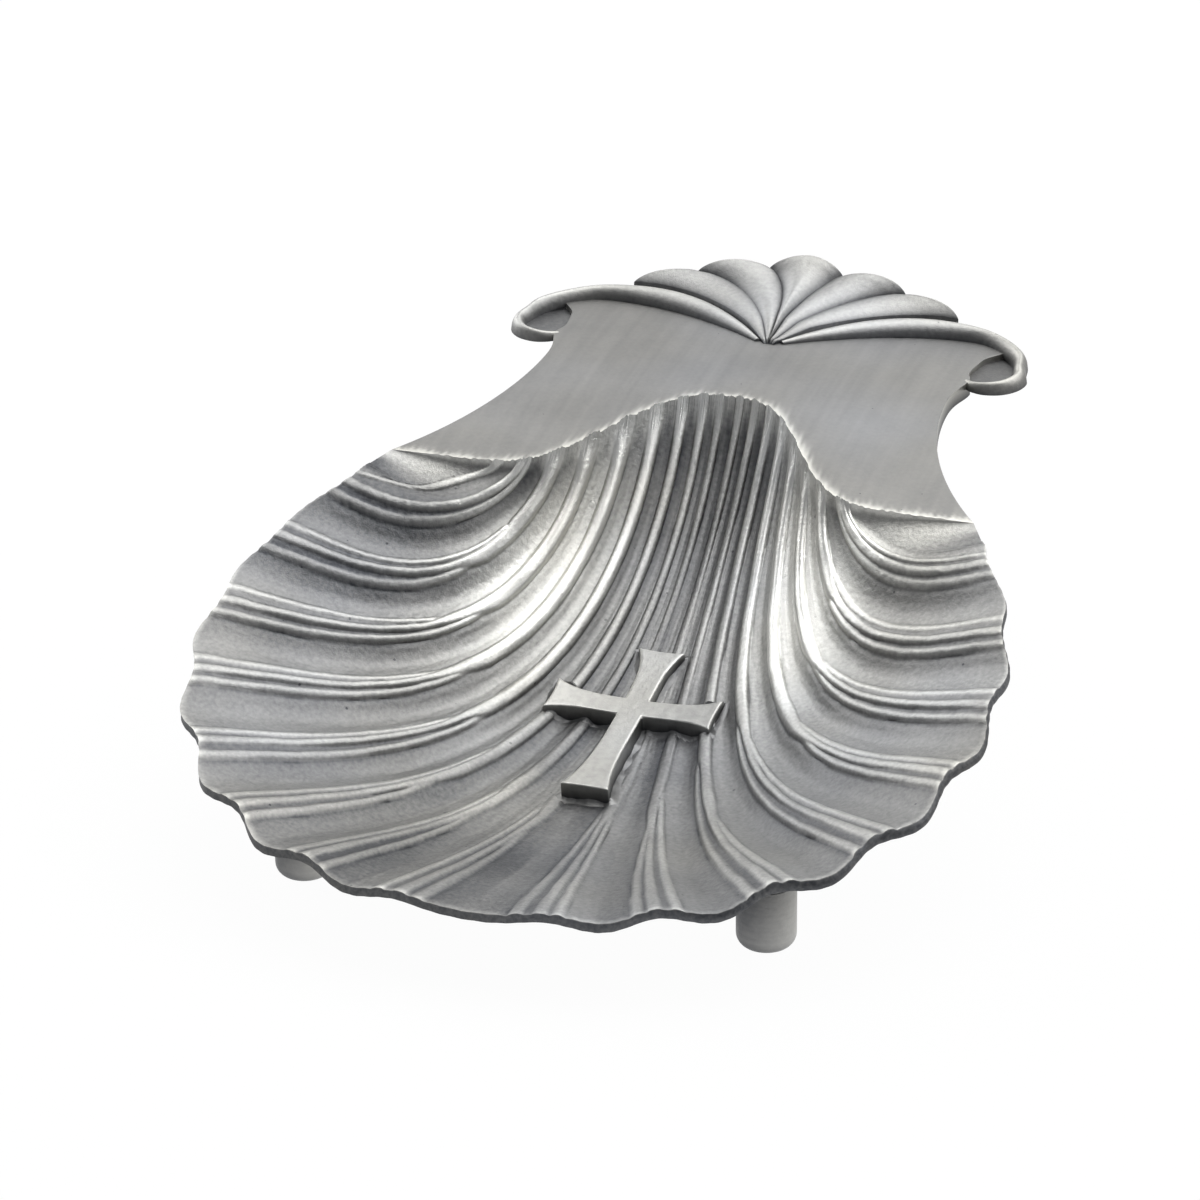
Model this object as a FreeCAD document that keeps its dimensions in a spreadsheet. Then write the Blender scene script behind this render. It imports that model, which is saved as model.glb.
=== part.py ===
import FreeCAD, Part
import math
import os

# Baptismal shell: a ribbed scallop bowl on three peg feet, with an arched handle plate
# behind it, a palmette crest between two scrolls, and a flared cross lying in the bowl.
# Millimetres. X across, +Y to the crest, +Z up from the table, origin under the middle.

V = FreeCAD.Vector

SIZES = {
    "shoulder_height": 43.2,
    "rim_radius": 64.8,
    "rim_tilt": 16.3,
    "rim_swell": 1.2,
    "rim_swell_angle": 115.0,
    "rim_bulge": 2.6,
    "rim_dip": 1.2,
    "rim_bevel": 0.9,
    "ear_out": 3.3,
    "ear_drop": 3.25,
    "ear_angle": 5.1,
    "bowl_depth": 24.5,
    "bowl_wall": 1.9,
    "wall_gain": 1.0,
    "first_rib_angle": 10.4,
    "rib_height": 1.1,
    "rib_fan_bend": 13.0,
    "arch_rise": 28.1,
    "arch_width": 18.9,
    "arch_drop": 1.3,
    "arch_step": 0.16,
    "arch_step_gain": 0.0006,
    "shoulder_half": 50.4,
    "seam_gap": 0.1,
    "plate_thickness": 2.8,
    "plate_arc_radius": 280.0,
    "plate_slope": 12.8,
    "waist_half": 35.6,
    "waist_y": 36.0,
    "plate_end_half": 37.2,
    "plate_end_y": 56.0,
    "plate_back_y": 68.5,
    "crest_focus_y": 46.5,
    "crest_reach": 24.0,
    "crest_lift": 6.2,
    "lobe_height": 2.2,
    "lobe_bulge": 1.2,
    "crest_root": 1.5,
    "band_height": 2.3,
    "scroll_x": 40.4,
    "scroll_drop": 0.3,
    "scroll_diameter": 11.6,
    "scroll_eye_diameter": 7.0,
    "scroll_floor": 0.8,
    "scroll_depth": 1.8,
    "cross_side_arm": 13.9,
    "cross_upper_arm": 15.0,
    "cross_lower_arm": 25.2,
    "cross_waist": 4.4,
    "cross_flare": 7.4,
    "cross_thickness": 2.8,
    "cross_bow_radius": 125.0,
    "cross_tilt": 11.5,
    "cross_y": -26.0,
    "cross_sink": 1.2,
    "cross_seat_gap": 0.1,
    "pin_diameter": 2.0,
    "pin_head_diameter": 3.4,
    "pin_head_height": 0.7,
    "pin_depth": 1.5,
    "pin_reach": 10.0,
    "pin_clearance": 0.05,
    "foot_diameter": 9.4,
    "foot_edge_radius": 2.5,
    "front_foot_x": 38.2,
    "front_foot_y": -72.5,
    "rear_foot_y": -2.0,
    "pad_margin": 0.6,
    "stud_diameter": 3.0,
    "stud_in_foot": 4.0,
    "stud_in_pad": 1.6,
    "stud_clearance": 0.05,
}

# Bare proportions of the shell: counts, and shares of a rib pitch or of a rib's run

RIBS_PER_SIDE = 8
LAST_RIB = RIBS_PER_SIDE - 0.5
EAR_SPAN = 1.5
END_COLUMN = LAST_RIB + EAR_SPAN
MIDDLE_FLUTE_SPREAD = 0.25
ARCH_SHARPNESS = 2.75
BULGE_START_ANGLE = 22
BEVEL_START_ANGLE = 35
DEPTH_FALL = 2.6
DEPTH_MARGIN_ANGLE = 4.7
BEND_MARGIN_ANGLE = 12
BOWL_SHAPE = (0.75, 1.15)
WALL_FADE = 0.1
RIB_WIDTH_AT_ARCH = 0.17
RIB_WIDTH_AT_RIM = 0.12
RIB_SHARE_AT_ARCH = 0.45

doc = FreeCAD.newDocument("baptismal_shell")
os.makedirs("parts", exist_ok=True)
sheet = doc.addObject("Spreadsheet::Sheet", "sizes")
cell_names = []


def set_size(name, value):
    cell_names.append(name)
    row = len(cell_names)
    sheet.set("A%d" % row, name)
    sheet.set("B%d" % row, repr(value))
    sheet.setAlias("B%d" % row, name)
    doc.recompute()


def size(name):
    return float(sheet.get(name))


for name, value in SIZES.items():
    set_size(name, value)

rim_slope = math.tan(math.radians(size("rim_tilt")))
rim_flatten = math.cos(math.radians(size("rim_tilt")))
rim_end = math.asin(min(1.0, (size("shoulder_half") + size("ear_out")) / size("rim_radius")))
rim_back = size("rim_radius") * rim_flatten * math.cos(rim_end)
rim_middle_y = -size("arch_drop") - size("ear_drop") - rim_back
last_rib_angle = 180 - math.degrees(rim_end) - size("ear_angle")
rib_pitch = (last_rib_angle - size("first_rib_angle")) / (RIBS_PER_SIDE - 1)
depth_angle = last_rib_angle + size("ear_angle") + DEPTH_MARGIN_ANGLE
bend_angle = last_rib_angle + size("ear_angle") + BEND_MARGIN_ANGLE
front_reach = (size("rim_radius") - size("rim_swell")) * rim_flatten - rim_middle_y
back_reach = size("crest_focus_y") + size("crest_reach") + size("lobe_bulge")
set_size("shoulder_y", (front_reach - back_reach) / 2)
set_size("scroll_y", size("crest_focus_y") - size("scroll_drop"))


# Bowl surface: columns count ribs from the middle flute, rows run from the arch to the rim

def column_angle(column):
    shift = size("first_rib_angle") - rib_pitch / 2
    ribbed = min(column, LAST_RIB)
    angle = rib_pitch * ribbed + shift * math.tanh(ribbed / MIDDLE_FLUTE_SPREAD)
    if column > LAST_RIB:
        part = (column - LAST_RIB) / EAR_SPAN
        rest = size("ear_angle")
        angle += rest * (1 - (1 - part) ** (rib_pitch * EAR_SPAN / rest))
    return angle


def arch_x(column):
    angle = column_angle(min(column, LAST_RIB))
    across = angle * (size("arch_step") + size("arch_step_gain") * angle)
    if column > LAST_RIB:
        part = (column - LAST_RIB) / EAR_SPAN
        first = (size("arch_step") + 2 * size("arch_step_gain") * angle) * rib_pitch * EAR_SPAN
        across += first * part + (size("shoulder_half") - across - first) * part ** 2
    return across


def arch_y(across):
    bell = math.exp(-(abs(across) / size("arch_width")) ** ARCH_SHARPNESS)
    return size("arch_rise") * bell - size("arch_drop")


def plate_z(y):
    radius = size("plate_arc_radius")
    slope = math.radians(size("plate_slope"))
    along = y - radius * math.sin(slope)
    return size("shoulder_height") - radius * math.cos(slope) + math.sqrt(radius ** 2 - along ** 2)


def rib_share(column):
    offset = column - min(math.floor(column), RIBS_PER_SIDE - 1) - 0.5
    swell = math.cos(math.pi * offset) ** 2 if abs(offset) < 0.5 else 0.0
    return offset, swell


def bowl_column(column, layer):
    side = -1 if column < 0 else 1
    column = abs(column)
    angle = column_angle(column)
    turn = math.radians(angle)
    ear = max(0.0, (column - LAST_RIB) / EAR_SPAN)
    offset, swell = rib_share(column)
    flute = (1 - swell) * (1 - ear) * (1 - math.exp(-(angle / BULGE_START_ANGLE) ** 2))
    fade = 1 - (angle / depth_angle) ** 2
    wave = math.cos(2 * math.pi * angle / size("rim_swell_angle"))
    radius = size("rim_radius") - size("rim_swell") * wave * (1 - ear)
    radius += size("rim_bulge") * flute * fade
    radius += layer * size("rim_bevel") * fade * (1 - math.exp(-(angle / BEVEL_START_ANGLE) ** 2))
    x_start = arch_x(column)
    start = V(x_start, arch_y(x_start), 0)
    end = V(radius * math.sin(turn), rim_middle_y - radius * rim_flatten * math.cos(turn), 0)
    start.z = plate_z(start.y)
    end.z = size("shoulder_height") + rim_slope * end.y
    run = V(end.x - start.x, end.y - start.y, 0)
    bend = size("rib_fan_bend") * math.sin(math.pi * angle / bend_angle) * (1 - ear ** 2)
    middle = (start + end) * 0.5 + V(run.y, -run.x, 0) * (2 * bend / run.Length)
    deep = 1 - (angle / depth_angle) ** DEPTH_FALL
    return side, start, middle, end, deep * (1 - ear ** 2), offset, swell, ear


SHAPE_PEAK = BOWL_SHAPE[0] / sum(BOWL_SHAPE)
SHAPE_TOP = SHAPE_PEAK ** BOWL_SHAPE[0] * (1 - SHAPE_PEAK) ** BOWL_SHAPE[1]


def bowl_point(column, row, layer=0.0):
    side, start, middle, end, deep, offset, swell, ear = bowl_column(column, layer)
    x = start.x * (1 - row) ** 2 + 2 * middle.x * row * (1 - row) + end.x * row ** 2
    y = start.y * (1 - row) ** 2 + 2 * middle.y * row * (1 - row) + end.y * row ** 2
    z = start.z * (1 - row) + end.z * row
    z -= size("bowl_depth") * deep * row ** BOWL_SHAPE[0] * (1 - row) ** BOWL_SHAPE[1] / SHAPE_TOP
    z -= size("rim_dip") * row * (1 - swell) * (1 - ear)
    z -= layer * size("bowl_wall") * (1 + size("wall_gain") * deep * math.exp(-row / WALL_FADE))
    if layer == 0:
        width = RIB_WIDTH_AT_ARCH + (RIB_WIDTH_AT_RIM - RIB_WIDTH_AT_ARCH) * row
        share = RIB_SHARE_AT_ARCH + (1 - RIB_SHARE_AT_ARCH) * row
        z += size("rib_height") * share * math.exp(-(offset / width) ** 2)
    return V(side * x, y + size("shoulder_y"), z)


def mirrored(columns):
    return [-c for c in reversed(columns[1:])] + columns


def underside_at(x, y):
    points = [bowl_point(c / 10, r / 40, 1.0) for c in range(76) for r in range(1, 41)]
    return min(points, key=lambda p: math.hypot(p.x - abs(x), p.y - y)).z


def smooth_surface(net):
    face = Part.BSplineSurface()
    face.interpolate(net)
    return face


def sectors(face, knots_each):
    knots = face.getUKnots()
    cuts = knots[:-knots_each:knots_each] + [knots[-1]]
    v0, v1 = face.bounds()[2:]
    parts = []
    for low, high in zip(cuts, cuts[1:]):
        part = face.copy()
        part.segment(low, high, v0, v1)
        parts.append(part)
    return parts


def ruled(first, second):
    return Part.makeRuledSurface(first.toShape(), second.toShape())


def closed_solid(top, bottom, knots_each):
    tops = sectors(top, knots_each)
    bottoms = sectors(bottom, knots_each)
    faces = [part.toShape() for part in tops + bottoms]
    for high, low in zip(tops, bottoms):
        faces.append(ruled(high.vIso(high.bounds()[2]), low.vIso(low.bounds()[2])))
        faces.append(ruled(high.vIso(high.bounds()[3]), low.vIso(low.bounds()[3])))
    faces.append(ruled(tops[0].uIso(tops[0].bounds()[0]), bottoms[0].uIso(bottoms[0].bounds()[0])))
    faces.append(ruled(tops[-1].uIso(tops[-1].bounds()[1]), bottoms[-1].uIso(bottoms[-1].bounds()[1])))
    skin = Part.makeCompound(faces)
    skin.sewShape()
    solid = Part.Solid(skin.Shells[0])
    if solid.Volume < 0:
        solid.reverse()
    return solid


# shell_bowl, first step: the casting between its ribbed upper skin and its softer underside

RIB_STEPS = [-0.5, -0.34, -0.2, -0.1, 0.0, 0.1, 0.2, 0.34]
EAR_STEPS = [8.0, 8.2, 8.4, 8.6, 8.8, END_COLUMN]
ROWS = [0.0, 0.012, 0.035, 0.07, 0.12, 0.19, 0.28, 0.39, 0.51, 0.63, 0.75, 0.86, 0.94, 1.0]
half_columns = [k + 0.5 + s for k in range(RIBS_PER_SIDE) for s in RIB_STEPS] + EAR_STEPS
bowl_columns = mirrored(half_columns)


def bowl_skin(layer):
    return smooth_surface([[bowl_point(c, r, layer) for r in ROWS] for c in bowl_columns])


bowl_casting = doc.addObject("Part::Feature", "bowl_casting")
bowl_casting.Shape = closed_solid(bowl_skin(0.0), bowl_skin(1.0), len(RIB_STEPS))
pad_core = doc.addObject("Part::Feature", "pad_core")
pad_core.Shape = bowl_skin(0.5).toShape().extrude(V(0, 0, -2 * size("shoulder_height")))

# Sketch helpers: bodies whose sketches lie on the body's own planes


def new_sketch(body, name, role):
    sketch = body.newObject("Sketcher::SketchObject", name)
    plane = next(item for item in body.Origin.OriginFeatures if item.Role == role)
    sketch.AttachmentSupport = [(plane, "")]
    sketch.MapMode = "FlatFace"
    return sketch


def padded(body, sketch, name, length, both_ways=False):
    pad = body.newObject("PartDesign::Pad", name)
    pad.Profile = sketch
    if both_ways:
        pad.SideType = "Symmetric"
    pad.setExpression("Length", length)
    body.Tip = pad
    return pad


def spline(points):
    curve = Part.BSplineCurve()
    curve.interpolate(points)
    return curve


def common_of(name, base, tool):
    both = doc.addObject("Part::Common", name)
    both.Base = base
    both.Tool = tool
    return both


def cut_of(name, base, tool):
    left = doc.addObject("Part::Cut", name)
    left.Base = base
    left.Tool = tool
    return left


def rod(name, radius, height, place):
    made = doc.addObject("Part::Cylinder", name)
    made.setExpression("Radius", radius)
    made.setExpression("Height", height)
    made.Placement = place
    return made


def compound(name, pieces):
    made = doc.addObject("Part::Compound", name)
    made.Links = pieces
    return made


def upright(x, y, z):
    return FreeCAD.Placement(V(x, y, z), FreeCAD.Rotation())


# Feet: turned pegs with a rounded lower edge and a blind bore on top for the stud

bowl_drills = []
pads = []
studs = []


def make_foot(name, x, y):
    radius = size("foot_diameter") / 2
    around = [2 * math.pi * k / 8 for k in range(8)]
    lowest = min(underside_at(x + radius * math.cos(a), y + radius * math.sin(a)) for a in around)
    height = name + "_height"
    set_size(height, lowest - size("pad_margin"))
    body = doc.addObject("PartDesign::Body", name)
    sketch = new_sketch(body, name + "_profile", "XZ_Plane")
    edge = size("foot_edge_radius")
    top = size(height)
    bore = size("stud_diameter") / 2 + size("stud_clearance")
    floor = top - size("stud_in_foot") - size("stud_clearance")
    corners = [V(0, 0), V(radius - edge, 0), V(radius, edge), V(radius, top)]
    corners += [V(bore, top), V(bore, floor), V(0, floor)]
    sketch.addGeometry(Part.LineSegment(corners[0], corners[1]))
    middle = V(radius - edge, edge) + V(1, -1) * (edge * math.sqrt(0.5))
    sketch.addGeometry(Part.Arc(corners[1], middle, corners[2]))
    for k in range(2, 7):
        sketch.addGeometry(Part.LineSegment(corners[k], corners[(k + 1) % 7]))
    turned = body.newObject("PartDesign::Revolution", name + "_turned")
    turned.Profile = sketch
    turned.ReferenceAxis = (sketch, ["V_Axis"])
    turned.Angle = 360
    body.Tip = turned
    body.Placement = upright(x, y, 0)
    blank = rod(name + "_pad_blank", "sizes.foot_diameter / 2", "sizes.shoulder_height", upright(x, y, top))
    pads.append(common_of(name + "_pad", blank, pad_core))
    stud_length = "sizes.stud_in_foot + sizes.stud_in_pad"
    low = upright(x, y, top - size("stud_in_foot"))
    studs.append(rod(name + "_stud", "sizes.stud_diameter / 2", stud_length, low))
    drill_radius = "sizes.stud_diameter / 2 + sizes.stud_clearance"
    drill_length = "sizes.stud_in_foot + sizes.stud_in_pad + sizes.stud_clearance"
    bowl_drills.append(rod(name + "_drill", drill_radius, drill_length, low))
    return body


front_y = size("front_foot_y") + size("shoulder_y")
front_left_foot = make_foot("front_left_foot", -size("front_foot_x"), front_y)
front_right_foot = make_foot("front_right_foot", size("front_foot_x"), front_y)
rear_foot = make_foot("rear_foot", 0, size("rear_foot_y") + size("shoulder_y"))
foot_studs = compound("foot_studs", studs)

# cross: flared Latin cross, dished to follow the bowl and let into the ribs under it


def cross_place(z):
    tilt = FreeCAD.Rotation(V(1, 0, 0), size("cross_tilt"))
    return FreeCAD.Placement(V(0, size("cross_y") + size("shoulder_y"), z), tilt)


def cross_height():
    z = size("shoulder_height") / 3
    half = size("cross_flare") / 2
    samples = [bowl_point(c / 20, r / 60) for c in range(-60, 61) for r in range(4, 54)]
    for step in range(4):
        back = cross_place(z).inverse()
        lift = []
        for point in samples:
            p = back.multVec(point)
            on_upright = abs(p.x) < half and -size("cross_lower_arm") < p.y < size("cross_upper_arm")
            on_bar = abs(p.y) < half and abs(p.x) < size("cross_side_arm")
            if on_upright or on_bar:
                bow = (p.x ** 2 + p.y ** 2) / (2 * size("cross_bow_radius"))
                lift.append(p.z + size("cross_thickness") - bow)
        z += (max(lift) - size("cross_sink")) / math.cos(math.radians(size("cross_tilt")))
    return z


set_size("cross_z", cross_height())
cross_frame = cross_place(size("cross_z"))
FLARE_START = 0.6
FLARE_WAIST = 1.08


def cross_outline(margin):
    waist = size("cross_waist") / 2 + margin
    flare = size("cross_flare") / 2 + margin
    side = size("cross_side_arm")
    arms = [side, size("cross_upper_arm"), side, size("cross_lower_arm")]
    edges = []
    for k in range(4):
        turn = FreeCAD.Rotation(V(0, 0, 1), 90 * k)
        reach = arms[k] + margin
        slim = V(reach * FLARE_START, waist * FLARE_WAIST)
        lower = [V(waist, -waist), V(slim.x, -slim.y), V(reach, -flare)]
        upper = [V(reach, flare), slim, V(waist, waist)]
        low = [turn.multVec(p) for p in lower]
        high = [turn.multVec(p) for p in upper]
        edges += [Part.Arc(*low), Part.LineSegment(low[2], high[0]), Part.Arc(*high)]
    return edges


def cross_prism(name, margin):
    body = doc.addObject("PartDesign::Body", name)
    outline = new_sketch(body, name + "_outline", "XY_Plane")
    for edge in cross_outline(margin):
        outline.addGeometry(edge)
    padded(body, outline, name + "_pad", "sizes.cross_thickness * 4", True)
    return body


def ball(name, radius):
    made = doc.addObject("Part::Sphere", name)
    made.setExpression("Radius", radius)
    made.Placement = upright(0, 0, size("cross_bow_radius"))
    return made


cross_top = ball("cross_top", "sizes.cross_bow_radius")
cross_back = ball("cross_back", "sizes.cross_bow_radius + sizes.cross_thickness")
seat_floor = ball("seat_floor", "sizes.cross_bow_radius + sizes.cross_thickness + sizes.cross_seat_gap")
cross_dish = cut_of("cross_dish", cross_back, cross_top)
cross_blank = common_of("cross_blank", cross_prism("cross_prism", 0), cross_dish)
cross_seat = common_of("cross_seat", cross_prism("seat_prism", size("cross_seat_gap")), seat_floor)
cross_seat.Placement = cross_frame

# cross_pins: two pins in the back of the cross, through the bowl, peened underneath


def pin_foot(along):
    back = cross_frame.inverse()
    reach = size("pin_head_diameter") / 2
    points = [back.multVec(bowl_point(0, r / 400, 1.0)) for r in range(40, 380)]
    return min(p.z for p in points if abs(p.y - along) <= reach) - size("pin_clearance")


pin_pieces = []
cross_drills = []
for name, along in (("upper_pin", size("pin_reach")), ("lower_pin", -size("pin_reach"))):
    set_size(name + "_foot", pin_foot(along))
    foot_z = size(name + "_foot")
    shank_length = "sizes.pin_depth - sizes.cross_thickness - sizes.%s_foot" % name
    shank_place = upright(0, along, foot_z)
    shank = rod(name + "_shank", "sizes.pin_diameter / 2", shank_length, shank_place)
    head_place = upright(0, along, foot_z - size("pin_head_height"))
    head = rod(name + "_head", "sizes.pin_head_diameter / 2", "sizes.pin_head_height", head_place)
    pin = doc.addObject("Part::Fuse", name)
    pin.Base = shank
    pin.Tool = head
    pin_pieces.append(pin)
    drill_radius = "sizes.pin_diameter / 2 + sizes.pin_clearance"
    drill_length = shank_length + " + sizes.pin_clearance"
    cross_drills.append(rod(name + "_cross_drill", drill_radius, drill_length, shank_place))
    below = cross_frame.multiply(head_place)
    through = drill_length + " + sizes.pin_head_height"
    bowl_drills.append(rod(name + "_bowl_drill", drill_radius, through, below))

cross_pins = compound("cross_pins", pin_pieces)
cross_pins.Placement = cross_frame
cross = cut_of("cross", cross_blank, compound("cross_drills", cross_drills))
cross.Placement = cross_frame

# shell_bowl, second step: three pads are joined on and drilled for the studs, the floor is
# drilled for the pins, and the ribs under the cross are cut down to its seat

bowl_with_pads = doc.addObject("Part::MultiFuse", "bowl_with_pads")
bowl_with_pads.Shapes = [bowl_casting] + pads
shell_bowl = cut_of("shell_bowl", bowl_with_pads, compound("bowl_drills", bowl_drills + [cross_seat]))

# handle_plate: arched slab trimmed to the waisted outline; its lower edge follows the arch

SLAB_MARGIN = 1.4


def arch_edge_point(column):
    x = arch_x(abs(column)) * (-1 if column < 0 else 1)
    step = 0.01
    slope = (arch_y(x + step) - arch_y(x - step)) / (2 * step)
    normal = V(-slope, 1, 0).normalize() * size("seam_gap")
    return V(x, arch_y(x), 0) + normal


def plate_outline():
    shoulder = arch_edge_point(END_COLUMN)
    waist = V(size("waist_half"), size("waist_y"), 0)
    end = V(size("plate_end_half"), size("plate_end_y"), 0)
    back = V(0, size("plate_back_y"), 0)

    def side_middle(far):
        across = far.x - waist.x
        along = far.y - waist.y
        radius = (across ** 2 + along ** 2) / (2 * across)
        bulge = radius - math.sqrt(radius ** 2 - along ** 2 / 4)
        return V(waist.x + bulge, waist.y + along / 2, 0)

    def flip(p):
        return V(-p.x, p.y, 0)

    low_middle = side_middle(shoulder)
    high_middle = side_middle(end)
    arch = [arch_edge_point(c) for c in bowl_columns]
    return [
        spline(arch),
        Part.Arc(shoulder, low_middle, waist),
        Part.Arc(waist, high_middle, end),
        Part.Arc(end, back, flip(end)),
        Part.Arc(flip(end), flip(high_middle), flip(waist)),
        Part.Arc(flip(waist), flip(low_middle), flip(shoulder)),
    ]


def plate_prism(name, shift):
    body = doc.addObject("PartDesign::Body", name)
    outline = new_sketch(body, name + "_outline", "XY_Plane")
    for edge in plate_outline():
        outline.addGeometry(edge)
    padded(body, outline, name + "_pad", "sizes.shoulder_height * 2")
    body.Placement = upright(shift, size("shoulder_y"), 0)
    return body


def arched_slab(name, low, high):
    body = doc.addObject("PartDesign::Body", name)
    profile = new_sketch(body, name + "_profile", "YZ_Plane")
    radius = size("plate_arc_radius")
    slope = math.radians(size("plate_slope"))
    centre = V(radius * math.sin(slope), size("shoulder_height") - radius * math.cos(slope), 0)
    half_turn = math.asin(SLAB_MARGIN * size("plate_back_y") / radius)

    def at(r, turn):
        return centre + V(math.sin(turn), math.cos(turn), 0) * r

    inner = radius + low
    outer = radius + high
    profile.addGeometry(Part.Arc(at(outer, -half_turn), at(outer, 0), at(outer, half_turn)))
    profile.addGeometry(Part.LineSegment(at(outer, half_turn), at(inner, half_turn)))
    profile.addGeometry(Part.Arc(at(inner, half_turn), at(inner, 0), at(inner, -half_turn)))
    profile.addGeometry(Part.LineSegment(at(inner, -half_turn), at(outer, -half_turn)))
    padded(body, profile, name + "_pad", "sizes.shoulder_half * 3", True)
    body.Placement = upright(0, size("shoulder_y"), 0)
    return body


plate_blank = plate_prism("plate_blank", 0)
plate_slab = arched_slab("plate_slab", -size("plate_thickness"), 0)
handle_plate = common_of("handle_plate", plate_blank, plate_slab)

# crest_palmette: five convex lobes that fan out from one point on the plate

LOBES_PER_SIDE = 2
CREST_EDGE = LOBES_PER_SIDE + 0.5
LOBE_SPACING = (13.9, -0.83)
LOBE_END_FALL = (0.08, 0.02)
LOBE_LEAN = 6.4
LOBE_START = (0.9, 0.16)
LOBE_LIFT_FALL = 0.093
LOBE_RISE = 1.3
LOBE_RANK_FALL = (0.45, -0.05)
LOBE_SHARE_AT_ROOT = 0.25


def crest_plan(lobe, along):
    side = -1 if lobe < 0 else 1
    lobe = abs(lobe)
    offset = lobe - round(lobe)
    reach = size("crest_reach")
    bulge = size("lobe_bulge") * (1 - (2 * offset) ** 2) if lobe < CREST_EDGE else 0.0
    end_x = LOBE_SPACING[0] * lobe + LOBE_SPACING[1] * lobe ** 2
    end_y = reach * (1 - LOBE_END_FALL[0] * lobe - LOBE_END_FALL[1] * lobe ** 2)
    end = V(end_x, end_y, 0)
    end += V(end).normalize() * bulge
    start_x = LOBE_LEAN * lobe * (1 - math.exp(-lobe))
    middle = V(start_x, reach * LOBE_START[0] - LOBE_START[1] * lobe ** 3, 0)
    p = middle * (2 * along * (1 - along)) + end * along ** 2
    return V(side * p.x, p.y + size("crest_focus_y"), 0)


def crest_point(lobe, along, raised):
    p = crest_plan(lobe, along)
    offset = lobe - round(lobe)
    z = plate_z(p.y) + size("seam_gap")
    if raised:
        root = size("crest_root")
        lift = size("crest_lift") * (1 - LOBE_LIFT_FALL * lobe ** 2)
        z += root + (lift - root) * along ** LOBE_RISE
        rank = abs(round(lobe))
        fall = 1 - LOBE_RANK_FALL[0] * rank - LOBE_RANK_FALL[1] * rank ** 2
        share = LOBE_SHARE_AT_ROOT + (1 - LOBE_SHARE_AT_ROOT) * along
        z += size("lobe_height") * fall * share * (1 - (2 * offset) ** 2)
    return V(p.x, p.y + size("shoulder_y"), z)


LOBE_STEPS = [-0.5, -0.4, -0.25, 0.0, 0.25, 0.4]
CREST_ROWS = [0.06, 0.15, 0.3, 0.45, 0.6, 0.75, 0.88, 1.0]
crest_lobes = range(-LOBES_PER_SIDE, LOBES_PER_SIDE + 1)
crest_columns = [k + s for k in crest_lobes for s in LOBE_STEPS] + [CREST_EDGE]


def crest_skin(raised):
    return smooth_surface([[crest_point(c, r, raised) for r in CREST_ROWS] for c in crest_columns])


crest_palmette = doc.addObject("Part::Feature", "crest_palmette")
crest_palmette.Shape = closed_solid(crest_skin(True), crest_skin(False), len(LOBE_STEPS))

# right_scroll and left_scroll: a raised band along the crest that curls into a volute

band_prism = doc.addObject("PartDesign::Body", "band_prism")
sketch = new_sketch(band_prism, "band_outline", "XY_Plane")
gap_lobe = CREST_EDGE + size("seam_gap") / 4
BAND_ROWS = (0.1, 0.25, 0.45, 0.65, 0.85, 1.0)
back_edge = [crest_plan(gap_lobe, r) for r in BAND_ROWS]
front_edge = [crest_plan(CREST_EDGE + 1, r) for r in reversed(BAND_ROWS)]
eye = V(size("scroll_x"), size("scroll_y"), 0)
ring_outer = size("scroll_diameter") / 2
ring_inner = size("scroll_eye_diameter") / 2
ring_middle = (ring_outer + ring_inner) / 2


def round_eye(degrees, radius):
    turn = math.radians(degrees)
    return eye + V(math.cos(turn), math.sin(turn), 0) * radius


OUTER_BEND = [(109, 16.6), (94.6, 12.3), (69.6, 7.5)]
INNER_BEND = (87, 7.3)
join_outer = round_eye(20, ring_outer * 0.99)
join_inner = round_eye(48, ring_middle)
outer_edge = [back_edge[-1]] + [round_eye(*place) for place in OUTER_BEND] + [join_outer]
inner_edge = [join_inner, round_eye(*INNER_BEND), front_edge[0]]
sketch.addGeometry(spline(back_edge))
sketch.addGeometry(spline(outer_edge))
sketch.addGeometry(Part.LineSegment(join_outer, join_inner))
sketch.addGeometry(spline(inner_edge))
sketch.addGeometry(spline(front_edge))
sketch.addGeometry(Part.LineSegment(front_edge[-1], back_edge[0]))
padded(band_prism, sketch, "band_prism_pad", "sizes.shoulder_height * 2")
band_prism.Placement = upright(0, size("shoulder_y"), 0)
band_slab = arched_slab("band_slab", size("seam_gap"), size("band_height"))
band = common_of("band", band_prism, band_slab)

scroll_top = plate_z(size("scroll_y")) + size("band_height")
set_size("scroll_height", size("scroll_depth") + size("band_height"))
scroll_place = upright(eye.x, eye.y + size("shoulder_y"), scroll_top - size("scroll_height"))
floor_place = upright(eye.x, eye.y + size("shoulder_y"), scroll_place.Base.z + size("scroll_floor"))
disc = rod("scroll_disc", "sizes.scroll_diameter / 2", "sizes.scroll_height", scroll_place)
trimmed = cut_of("scroll_trimmed", disc, plate_prism("scroll_trim", size("seam_gap")))
curl = doc.addObject("Part::Fuse", "scroll_blank")
curl.Base = band
curl.Tool = trimmed
hollow = rod("scroll_hollow", "sizes.scroll_eye_diameter / 2", "sizes.scroll_height * 2", floor_place)
right_scroll = cut_of("right_scroll", curl, hollow)
left_scroll = doc.addObject("Part::Mirroring", "left_scroll")
left_scroll.Source = right_scroll
left_scroll.Normal = V(1, 0, 0)
left_scroll.Base = V(0, 0, 0)

doc.recompute()

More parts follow.
